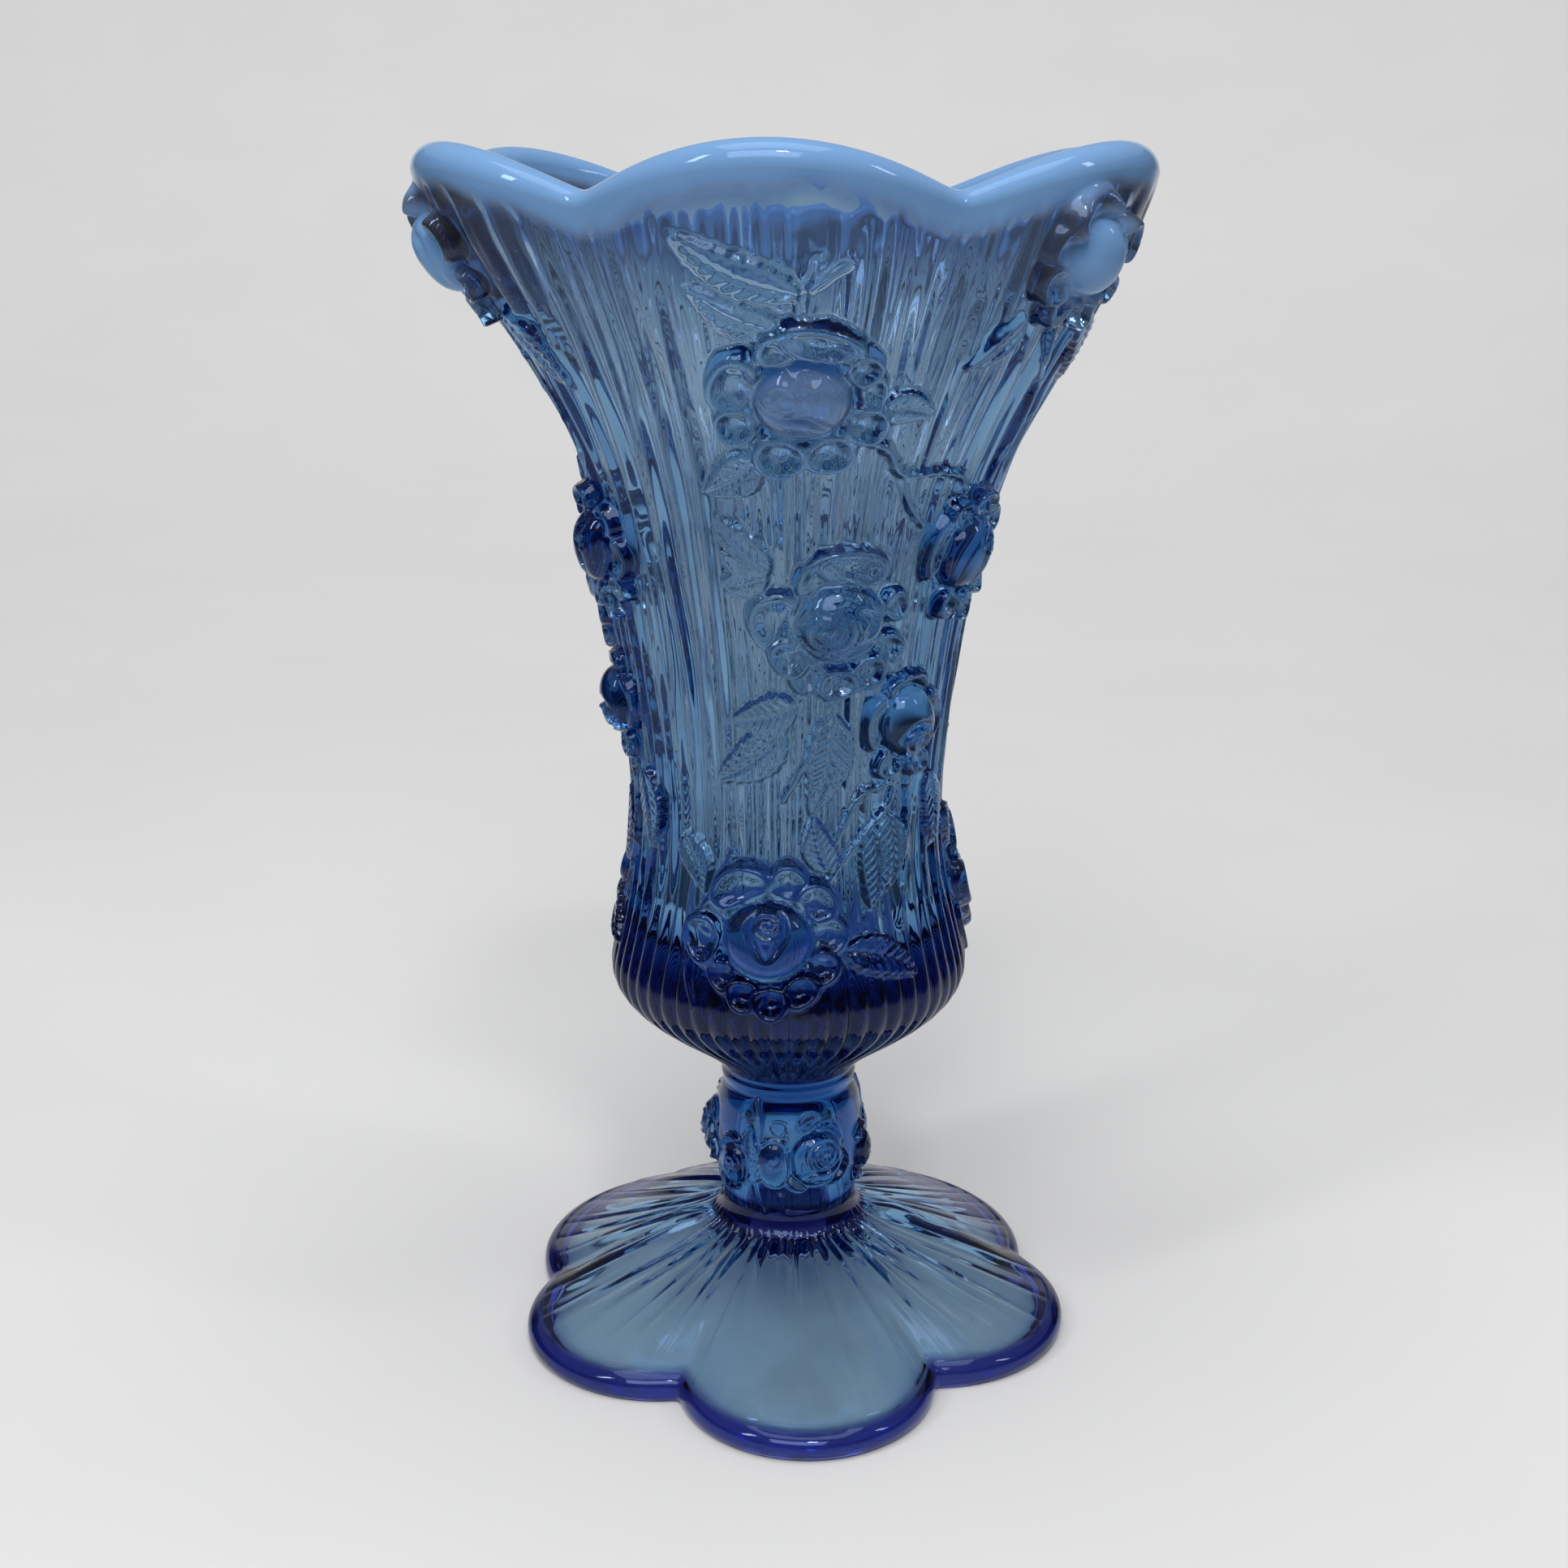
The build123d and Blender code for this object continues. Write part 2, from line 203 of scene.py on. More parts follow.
# ---- relief, drawn on the unrolled wall --------------------------------------------
class Sheet:
    """Heights over a wall. Rows follow its profile upwards and columns go round it."""

    def __init__(self, z, r):
        along = np.concatenate([[0], np.cumsum(np.hypot(np.diff(z), np.diff(r)))])
        self.s = np.arange(0, along[-1], STEP)
        self.z = np.interp(self.s, along, z)
        self.r = np.interp(self.s, along, r)
        self.height = np.zeros((len(self.s), COLUMNS))
        self.milk = np.zeros_like(self.height)

    def place(self, azimuth, z, reach):
        """The block within reach of a point, and its x, round the wall, and y, up it."""
        s0 = np.interp(z, self.z, self.s)
        first = max(0, int((s0 - reach) / STEP))
        last = min(len(self.s), int((s0 + reach) / STEP) + 2)
        r = self.r[first:last, None]
        width = 2 * np.pi / COLUMNS
        middle = int(round(math.radians(azimuth) / width))
        span = min(COLUMNS // 2 - 1, int(reach / r.min() / width) + 1)
        columns = np.arange(middle - span, middle + span + 1)
        x = (columns[None, :] * width - math.radians(azimuth)) * r
        y = np.repeat(self.s[first:last, None] - s0, len(columns), 1)
        return np.ix_(np.arange(first, last), columns % COLUMNS), x, y

    def local(self, azimuth, z, points):
        """Points given as (azimuth, z), in the x and y of place()."""
        s0 = np.interp(z, self.z, self.s)
        return [
            (math.radians(a - azimuth) * np.interp(h, self.z, self.r), np.interp(h, self.z, self.s) - s0)
            for a, h in points
        ]

    def lift(self, block, height):
        self.height[block] = np.maximum(self.height[block], height)

    def sample(self, field, z):
        """A field at heights z, an array of rows by columns."""
        at = np.interp(z, self.z, np.arange(len(self.s)))
        low = np.clip(at.astype(int), 0, len(self.s) - 2)
        share = np.clip(at - low, 0, 1)
        column = np.arange(COLUMNS)[None, :]
        return field[low, column] * (1 - share) + field[low + 1, column] * share


def rotated(x, y, degrees):
    c, s = math.cos(math.radians(degrees)), math.sin(math.radians(degrees))
    return x * c + y * s, y * c - x * s


def distance_to(x, y, points):
    """Distance to a line of points, and how far along it the nearest place is, 0 to 1."""
    best = np.full(x.shape, 1e9)
    share = np.zeros(x.shape)
    steps = [math.dist(a, b) for a, b in zip(points, points[1:])]
    done = 0.0
    for (ax, ay), (bx, by), step in zip(points, points[1:], steps):
        t = np.clip(((x - ax) * (bx - ax) + (y - ay) * (by - ay)) / step**2, 0, 1)
        d = np.hypot(x - ax - t * (bx - ax), y - ay - t * (by - ay))
        near = d < best
        best[near] = d[near]
        share[near] = ((done + t * step) / sum(steps))[near]
        done += step
    return best, share


def between(before, start, end, after, t):
    """A Catmull-Rom curve's place at t, 0 to 1, from its start to its end."""
    square = (2 * before - 5 * start + 4 * end - after) * t**2
    cube = (3 * start - before - 3 * end + after) * t**3
    return 0.5 * (2 * start + (end - before) * t + square + cube)


def bent(points, pieces=10):
    """A smooth line through a few points."""
    p = [points[0], *points, points[-1]]
    line = []
    for four in zip(p, p[1:], p[2:], p[3:]):
        for i in range(pieces):
            line.append(tuple(between(*values, i / pieces) for values in zip(*four)))
    return [*line, points[-1]]


def petal(x, y, angle, distance, long, wide, height, ruffle=0.05):
    """A shallow dish with a rolled edge, its middle at this distance from the rose's."""
    u, v = rotated(x, y, angle)
    u = u - distance
    around = np.arctan2(v / wide, u / long)
    q = np.hypot(u / long, v / wide) * (1 + ruffle * np.sin(3 * around + angle) * np.abs(np.cos(around / 2)))
    dish = 0.38 + 0.62 * smoothstep(0.20, 0.84, q)
    return np.where(q < 1, height * dish * lens(q, 7), -9)


def spiral(x, y, eye, reach, pitch, depth, way=1):
    """The wraps of a rosebud: each turn steps down from the one inside it."""
    ex, ey = x - eye[0], y - eye[1]
    rho = np.hypot(ex, ey)
    wraps = rho / pitch - way * np.arctan2(ey, ex) / (2 * np.pi)
    saw = wraps - np.floor(wraps)
    return depth * (0.5 - saw) * (1 - smoothstep(0.8 * reach, reach, rho)) * smoothstep(0, pitch, rho)


def rose(sheet, azimuth, z, heart, petals, eye, creases=(), milk=0.0):
    """heart: half width, half height, rise, tilt. petals: angle, distance, long, wide, rise.
    eye: x, y, reach, pitch, depth, way. creases: lines over the heart, in shares of its size.
    milk: how opal the heart is, 0 to 1."""
    half_w, half_h, rise, tilt = heart
    block, x, y = sheet.place(azimuth, z, max(half_w, half_h) * 2.5 + 4)
    for order, (angle, distance, long, wide, high) in enumerate(petals):
        sheet.lift(block, petal(x, y, angle, distance, long, wide, PETAL_CUT * high + 0.05 * order))
    u, v = rotated(x, y, tilt)
    q = np.hypot(u / half_w, v / half_h)
    body = rise * lens(q, 2.3)
    body = body + WRAP_CUT * spiral(x, y, eye[:2], *eye[2:]) * (q < 0.97)
    for line in creases:
        d, share = distance_to(u / half_w, v / half_h, bent(line))
        fade = np.sin(np.pi * np.clip(share * 0.9 + 0.08, 0, 1))
        body = body - CREASE_CUT * np.exp(-((d / 0.075) ** 2)) * fade
    # a narrow trench round the heart parts it from its petals
    moat = np.exp(-(((q - 1.04) / 0.07) ** 2)) * 0.9
    around = sheet.height[block]
    sheet.height[block] = np.where(q < 1, np.maximum(body, 0), around - np.minimum(moat, around.clip(0)))
    if milk:
        glow = milk * (1 - smoothstep(0.75, 1.0 + milk, q))
        sheet.milk[block] = np.maximum(sheet.milk[block], glow)


def leaf(sheet, tail, tip, width, rise=1.25):
    """A toothed leaf from its tail to its tip, both (azimuth, z)."""
    azimuth, z = (tail[0] + tip[0]) / 2, (tail[1] + tip[1]) / 2
    (ax, ay), (bx, by) = sheet.local(azimuth, z, [tail, tip])
    length = math.dist((ax, ay), (bx, by))
    block, x, y = sheet.place(azimuth, z, length * 0.6 + width * 0.5)
    u, v = rotated(x - ax, y - ay, math.degrees(math.atan2(by - ay, bx - ax)))
    v = v - 0.07 * length * np.sin(np.pi * np.clip(u / length, 0, 1))
    t = np.clip(u / length, 0, 1)
    teeth = (t * 9) % 1
    half = width / 2 * np.sin(np.pi * t**0.72) ** 0.85 * (1.07 - 0.16 * teeth) + 1e-6
    q = np.where((u > 0) & (u < length), np.abs(v) / half, 2)
    veins = ((u - 0.8 * np.abs(v)) / (length / 9)) % 1
    body = rise * lens(q, 6) * (0.75 + 0.25 * np.sin(np.pi * t))
    body = body + (0.55 * (0.5 - veins) + 0.45 * smoothstep(0.7, 0.95, q)) * (q < 1)
    body = body - 0.6 * np.exp(-((v / 0.34) ** 2)) * (q < 1)
    sheet.lift(block, np.where(q < 1, np.maximum(body, 0.12), -9))


def stalk(sheet, points, width=0.75, rise=0.95, thorns=0):
    """A stalk through (azimuth, z) points, thinner towards its end."""
    azimuth = sum(p[0] for p in points) / len(points)
    z = sum(p[1] for p in points) / len(points)
    line = bent(sheet.local(azimuth, z, points))
    reach = max(math.hypot(*p) for p in line) + 3
    block, x, y = sheet.place(azimuth, z, reach)
    d, share = distance_to(x, y, line)
    swell = 1.0
    if thorns:
        swell = 1 + 0.7 * np.clip(np.cos(2 * np.pi * thorns * share), 0, 1) ** 6
    half = width * (1.1 - 0.45 * share) * swell
    sheet.lift(block, np.where(d < half, rise * (1.05 - 0.3 * share) * lens(d / half, 2), -9))


# ---- what is drawn on one third of the wall ----------------------------------------
def draw_bowl_third(sheet, casting):
    def p(*points):
        return [(casting + a, z) for a, z in points]

    # leaves first, so that the roses lie over them
    for tail, tip, width in [
        ((1.5, 207.5), (-17.0, 217.0), 7.2),
        ((-1.0, 201.5), (-15.5, 208.6), 7.0),
        ((17.5, 188.5), (31.5, 187.0), 6.6),
        ((-6.5, 180.5), (-20.5, 173.5), 8.0),
        ((60.0, 203.0), (72.0, 190.0), 7.0),
        ((43.0, 203.0), (34.0, 194.0), 5.6),
        ((-5.5, 159.0), (-19.0, 170.0), 8.0),
        ((-5.5, 159.0), (-19.5, 157.2), 6.5),
        ((2.5, 134.5), (-19.0, 131.5), 8.0),
        ((-1.5, 130.0), (-25.5, 119.5), 8.6),
        ((14.0, 133.0), (7.0, 113.0), 9.0),
        ((30.0, 109.0), (29.0, 94.0), 7.0),
        ((14.0, 102.0), (8.5, 113.0), 6.4),
        ((37.0, 112.0), (37.0, 97.0), 7.4),
        ((17.5, 87.5), (45.0, 80.5), 7.6),
        ((-40.0, 108.0), (-30.0, 97.0), 6.5),
        ((-62.0, 118.0), (-57.0, 102.0), 7.0),
    ]:
        leaf(sheet, *p(tail, tip), width)
    for line, thorns in [
        (p((3.0, 198.0), (1.5, 202.0), (1.0, 206.0), (-1.0, 209.0)), 0),
        (p((2.2, 200.0), (3.2, 206.0), (4.2, 213.0)), 0),
        (p((3.0, 208.5), (8.5, 212.0)), 0),
        (p((16.0, 183.0), (22.0, 181.0), (27.0, 176.5), (38.0, 176.3), (46.0, 174.5), (51.0, 169.0)), 7),
        (p((27.0, 177.0), (30.5, 171.0), (37.0, 166.5)), 0),
        (p((40.0, 122.0), (37.0, 114.0), (28.0, 109.0), (20.0, 104.5), (12.0, 99.0)), 9),
        (p((37.0, 118.0), (25.0, 116.0), (17.0, 108.0)), 6),
        (p((44.0, 124.0), (47.0, 112.0), (45.0, 100.0), (41.0, 90.0)), 5),
        (p((12.0, 140.0), (11.0, 131.0), (4.0, 122.0), (-2.0, 116.0)), 0),
        (p((12.0, 140.0), (15.0, 130.0), (20.0, 121.0)), 0),
        (p((-20.0, 105.0), (-26.0, 96.0), (-34.0, 84.0), (-30.0, 76.0)), 0),
        (p((48.0, 206.0), (54.0, 196.0), (60.0, 184.0), (57.0, 172.0)), 6),
    ]:
        stalk(sheet, line, thorns=thorns)

    rose(  # the large rose on the flare
        sheet, casting + 2.4, 191.0, (8.1, 7.3, 5.6, 0),
        [
            (78, 11.2, 3.6, 7.8, 2.6), (112, 10.6, 3.4, 4.4, 2.2), (165, 11.4, 5.0, 6.2, 2.2),
            (203, 11.4, 4.2, 4.4, 2.6), (32, 11.2, 4.0, 3.6, 2.4), (8, 11.6, 3.0, 3.4, 1.8),
            (-24, 11.4, 4.6, 4.4, 2.4), (-66, 11.0, 4.6, 5.2, 2.2), (-108, 10.8, 4.8, 5.2, 2.6),
        ],
        (-3.1, 2.2, 4.2, 1.6, 0.55, 1),
        [
            [(-0.80, 0.10), (-0.45, -0.12), (0.05, -0.18), (0.45, -0.48), (0.72, -0.62)],
            [(-0.05, 0.86), (0.12, 0.72), (0.30, 0.84)],
        ],
        milk=0.36,
    )
    rose(  # the milky rose under the lip
        sheet, casting + 50.5, 213.0, (6.2, 7.0, 5.4, 20),
        [
            (120, 8.2, 4.6, 5.4, 3.4), (165, 7.8, 3.6, 4.2, 2.4), (210, 8.4, 3.4, 4.4, 2.8),
            (248, 9.0, 4.4, 2.8, 2.6), (285, 9.2, 4.6, 2.8, 3.0), (322, 8.2, 3.8, 3.0, 2.6),
            (20, 8.0, 3.4, 4.2, 2.4),
        ],
        (2.2, 3.4, 2.2, 1.0, 0.5, 1),
        [[(0.30, 0.75), (0.55, 0.30), (0.50, -0.30), (0.10, -0.80)]],
        milk=0.82,
    )
    rose(  # the tilted bud at the side
        sheet, casting + 55.0, 161.0, (6.2, 7.4, 5.2, -18),
        [
            (88, 9.6, 3.0, 4.4, 2.6), (122, 9.0, 3.2, 3.0, 2.0), (168, 8.4, 2.4, 6.6, 1.5),
            (40, 8.6, 3.2, 3.4, 2.0), (252, 10.0, 3.4, 2.2, 2.2), (282, 10.4, 3.6, 2.0, 2.4),
            (312, 9.4, 3.2, 2.2, 2.0), (350, 8.4, 2.6, 4.4, 1.6),
        ],
        (1.6, 3.0, 3.0, 1.05, 0.55, -1),
        [
            [(0.10, 0.80), (0.02, 0.30), (0.20, -0.30), (0.15, -0.80)],
            [(0.70, 0.55), (0.78, 0.0), (0.55, -0.60)],
        ],
    )
    rose(  # the rose at the waist
        sheet, casting + 14.6, 150.2, (7.9, 7.7, 5.2, 0),
        [
            (82, 10.6, 3.8, 7.4, 1.9), (118, 9.8, 3.6, 4.6, 1.8), (176, 11.4, 5.4, 6.0, 1.8),
            (15, 10.4, 3.0, 3.4, 1.6), (-28, 10.6, 3.4, 3.0, 1.8), (215, 10.6, 3.8, 4.4, 2.2),
            (242, 11.2, 3.8, 3.8, 1.8), (270, 11.4, 3.4, 4.6, 2.0), (300, 11.0, 3.6, 4.0, 1.9),
        ],
        (-3.0, -0.2, 5.4, 1.75, 0.62, 1),
        [[(0.30, 0.45), (0.62, 0.20), (0.45, -0.15)], [(-0.20, -0.85), (0.30, -0.55), (0.80, -0.30)]],
    )
    rose(  # the bud that hangs
        sheet, casting + 41.5, 129.6, (5.9, 6.9, 5.0, 8),
        [
            (95, 7.0, 3.0, 5.4, 1.6), (175, 6.8, 2.4, 5.4, 1.3), (5, 6.6, 2.6, 5.4, 1.6),
            (245, 8.4, 3.2, 3.2, 1.6), (292, 8.6, 3.2, 3.0, 1.8),
        ],
        (0.2, -3.0, 3.8, 1.5, 0.62, 1),
        [[(-0.62, -0.30), (-0.28, 0.02), (0.20, 0.06), (0.60, -0.22)]],
    )
    rose(  # the large rose at the base
        sheet, casting - 6.7, 89.6, (8.2, 7.8, 5.2, 0),
        [
            (118, 11.0, 4.6, 6.8, 2.4), (72, 11.2, 4.4, 4.0, 1.8), (40, 11.0, 4.2, 4.8, 2.2),
            (158, 10.6, 3.6, 4.2, 2.0), (182, 11.8, 4.2, 5.6, 2.8), (5, 10.8, 4.2, 4.8, 2.0),
            (-28, 10.8, 4.0, 4.2, 2.2), (222, 10.4, 3.4, 3.8, 2.2), (250, 10.8, 3.6, 4.0, 2.8),
            (275, 11.2, 3.6, 4.0, 3.0), (303, 10.8, 3.6, 4.0, 2.8),
        ],
        (0.3, 3.6, 3.4, 1.5, 0.5, 1),
        [
            [(-0.18, 0.72), (-0.34, 0.30), (-0.16, -0.18), (0.02, -0.46)],
            [(0.30, 0.66), (0.36, 0.26), (0.20, -0.14), (0.02, -0.46)],
        ],
    )


def draw_knop_third(sheet, casting):
    rose(
        sheet, casting + 22.0, 36.2, (5.6, 5.9, 2.8, 0),
        [(215, 5.6, 2.8, 4.0, 1.3), (330, 5.4, 2.6, 3.6, 1.3), (60, 5.2, 2.4, 3.4, 1.0)],
        (0.9, 1.4, 4.0, 1.3, 0.5, 1),
        [[(-0.75, -0.70), (-0.20, -0.35), (0.45, -0.30), (0.80, 0.10)]],
    )
    rose(
        sheet, casting - 11.0, 35.0, (3.3, 5.0, 1.8, 0),
        [(90, 4.0, 1.8, 2.8, 1.2)],
        (0, 1.5, 1.2, 1.2, 0.2, 1),
    )
    leaf(sheet, (casting - 24.0, 31.0), (casting - 30.0, 42.5), 4.6, 0.8)
    leaf(sheet, (casting - 24.0, 31.0), (casting - 46.0, 38.0), 4.8, 0.8)
    leaf(sheet, (casting + 8.0, 43.0), (casting + 26.0, 45.0), 3.0, 0.6)
    for line, width in [
        ([(-27.0, 48.0), (-22.0, 42.0), (-27.0, 30.0), (-20.0, 20.0)], 0.45),
        ([(-6.0, 28.0), (-2.0, 24.0), (10.0, 21.0), (26.0, 20.5)], 0.5),
    ]:
        stalk(sheet, [(casting + azimuth, z) for azimuth, z in line], width, 0.6)
    rose(
        sheet, casting - 45.0, 33.5, (3.4, 4.4, 2.2, 0),
        [(100, 4.4, 2.0, 2.8, 1.2), (250, 4.4, 2.0, 2.6, 1.2)],
        (0.4, 0.8, 2.2, 0.9, 0.4, 1),
    )


def ribs(sheet):
    """The reeded ground of the wall: long uneven ribs cut into it, and finer streaks over them."""
    draw = np.random.default_rng(12)
    z = sheet.z[:, None]
    phi = turn[None, :]
    wander = 0.012 * np.sin(z / 17 + 3 * phi) + 0.009 * np.sin(z / 7.5 + 5 * phi + 1.0)
    wander = wander * smoothstep(84, 104, z)
    ridge = np.abs(np.sin(RIBS / 2 * (phi + wander)))
    uneven = 1 + 0.35 * np.sin(9 * phi + z / 31) * np.sin(z / 23 + 4 * phi)
    # the ribs are shallow on the bulge, deepest at the waist, and fade out under the lip
    depth = RIB_DEPTH * smoothstep(52, 62, z) * (0.55 + 0.45 * smoothstep(78, 98, z))
    depth = depth * (1 - 0.15 * smoothstep(95, 125, z)) * (1 - 0.45 * smoothstep(196, 222, z))
    ground = -depth * uneven * (1 - ridge**0.7)
    streaks = np.zeros_like(ground)
    for _ in range(STREAKS):
        around = int(draw.integers(34, 112))
        sway = draw.uniform(0.6, 2.2) * np.sin(z / draw.uniform(9, 26) + draw.uniform(0, 6.3))
        fade = 0.5 + 0.5 * np.sin(z / draw.uniform(14, 34) + draw.uniform(0, 6.3) + 2 * phi)
        streaks += fade * np.cos(around * phi + sway + draw.uniform(0, 6.3))
    streaks = STREAK_DEPTH * streaks * smoothstep(80, 104, z) * (1 - 0.5 * smoothstep(205, 222, z))
    return ground + streaks - 0.18


def drawn_bowl():
    sheet = Sheet(BOWL_Z, BOWL_R)
    sheet.height = ribs(sheet)
    for casting in CASTINGS:
        draw_bowl_third(sheet, casting)
    soft = ROUNDING / STEP
    around = ROUNDING / (35 * 2 * np.pi / COLUMNS)
    sheet.height = bell_blur(sheet.height, around, soft)
    sheet.milk = bell_blur(sheet.milk, 3 * around, 3 * soft)
    return sheet


def drawn_knop():
    z, r = smoothed(STEM, 1, 0.5)
    sheet = Sheet(z, r)
    for casting in CASTINGS:
        draw_knop_third(sheet, casting)
    around = ROUNDING / (15 * 2 * np.pi / COLUMNS)
    sheet.height = bell_blur(sheet.height, around, ROUNDING / STEP)
    return sheet


# ---- the skin's rows ---------------------------------------------------------------
def foot_outline(azimuth):
    """Radius of the petal outline: six arcs through the notches and the tips."""
    sector = 2 * np.pi / LOBES
    shifted = (azimuth - math.radians(FOOT_TURN) + sector / 2) % (2 * np.pi)
    number = (shifted // sector).astype(int) % LOBES
    beta = shifted - number * sector - sector / 2
    tip = np.array(FOOT_TIP_R)[number]
    middle = (tip**2 - FOOT_NOTCH_R**2) / (2 * (tip - FOOT_NOTCH_R * math.cos(sector / 2)))
    r = middle * np.cos(beta) + np.sqrt((tip - middle) ** 2 - (middle * np.sin(beta)) ** 2)
    return bell_blur(r[None, :], 0.9 * COLUMNS / 360, 0)[0]


def profile_rows(points, step):
    """Points of a line in the r, z plane, evenly spaced, with its corners softened."""
    line = np.array(points, float)
    along = np.concatenate([[0], np.cumsum(np.hypot(*np.diff(line, axis=0).T))])
    places = np.linspace(0, along[-1], max(3, int(along[-1] / step) + 1))
    return np.interp(places, along, line[:, 0]), np.interp(places, along, line[:, 1])


def foot_rows():
    """From the blind end of the knop's hollow, under the foot and round its edge to the stem."""
    under = bent([
        (0.05, KNOP_HOLLOW_TOP), (3.6, 42.6), (6.2, 41.0), (7.1, 37.5), (7.9, 26.0), (8.6, 16.0),
        (10.6, 14.6), (18.0, 13.9), (24.0, 12.3), (31.0, 10.1), (38.0, 7.8), (45.5, 5.3), (50.0, 3.6),
        (52.6, 2.2), (53.8, 0.4), (54.4, 0.0),
    ])
    edge = bent(
        [(54.4, 0.0), (56.6, 0.15), (57.6, 0.9), (58.0, 2.2), (57.7, 3.6), (56.8, 4.6), (55.4, 5.3)],
        12,
    )
    top = bent([
        (55.4, 5.3), (50.0, 7.0), (45.5, 8.6), (38.0, 11.1), (31.0, 13.4), (24.0, 15.7), (19.0, 17.4),
        (16.0, 18.8), (14.6, 20.2), (13.95, 21.8), (13.75, 23.2),
    ])
    r_under, z_under = profile_rows(under, 1.1)
    r_edge, z_edge = profile_rows(edge, 0.35)
    r_top, z_top = profile_rows(top, 0.45)
    r = np.concatenate([r_under, r_edge[1:], r_top[1:]])[:, None]
    z = np.concatenate([z_under, z_edge[1:], z_top[1:]])[:, None]
    outer = np.concatenate([0 * r_under, 0 * r_edge[1:], 1 + 0 * r_top[1:]])[:, None]  # 1 on the top
    outline = foot_outline(turn)[None, :]
    reach = smoothstep(14, 52, r)
    new_r = r * (1 + reach * (outline / FOOT_NOMINAL_R - 1))
    # the petals fold at the notches, and fine flutes run out from the stem
    fold = np.abs(np.cos((turn - math.radians(FOOT_TURN) + np.pi / LOBES) * LOBES / 2))[None, :]
    crest = smoothstep(0.66, 1.0, fold) * 1.5 - 0.45
    along = smoothstep(15, 24, r) * (1 - 0.6 * smoothstep(40, 56, r))
    draw = np.random.default_rng(5)
    wobble = sum(np.cos(k * turn[None, :] + draw.uniform(0, 6.3)) for k in (17, 23, 31, 41))
    flutes = np.abs(np.sin(FLUTES / 2 * turn[None, :] + 0.35 * wobble)) ** 0.8
    flute_depth = FLUTE_DEPTH * smoothstep(14.2, 16.5, r) * (1 - 0.85 * smoothstep(20, 58, r)) + 0.04
    new_z = z + outer * (crest * along - flute_depth * (1 - flutes) * (0.7 + 0.15 * wobble))
    inner = (1 - outer) * smoothstep(14, 22, r) * (1 - smoothstep(38, 46, r))
    new_z = new_z + inner * crest * 0.8
    return new_r, new_z, np.zeros_like(new_r)


def stem_rows(sheet):
    slope = np.gradient(sheet.r, sheet.z)
    length = np.hypot(1, slope)
    r = sheet.r[:, None] + sheet.height / length[:, None]
    z = sheet.z[:, None] - sheet.height * (slope / length)[:, None]
    return r, z, sheet.milk


def lip_top(azimuth):
    return NOTCH_TOP + (LOBE_TOP - NOTCH_TOP) * lobe(azimuth, 0.08)


def milkiness(azimuth, z):
    """How far the reheated glass under the lip has turned to opal, 0 to 1."""
    below = lip_top(azimuth) - z
    ragged = 0.9 * np.sin(7 * azimuth + 1.3) + 0.7 * np.sin(16 * azimuth) + 0.5 * np.sin(31 * azimuth + 0.5)
    strong = 1 - smoothstep(3.5, 9.5, below + 0.5 * ragged)
    haze = 1 - smoothstep(4.0, 21.0, below + 2.0 * ragged)
    return 0.78 * strong + 0.22 * haze


def body_opal(z):
    return BODY_OPAL * smoothstep(70, 110, z)


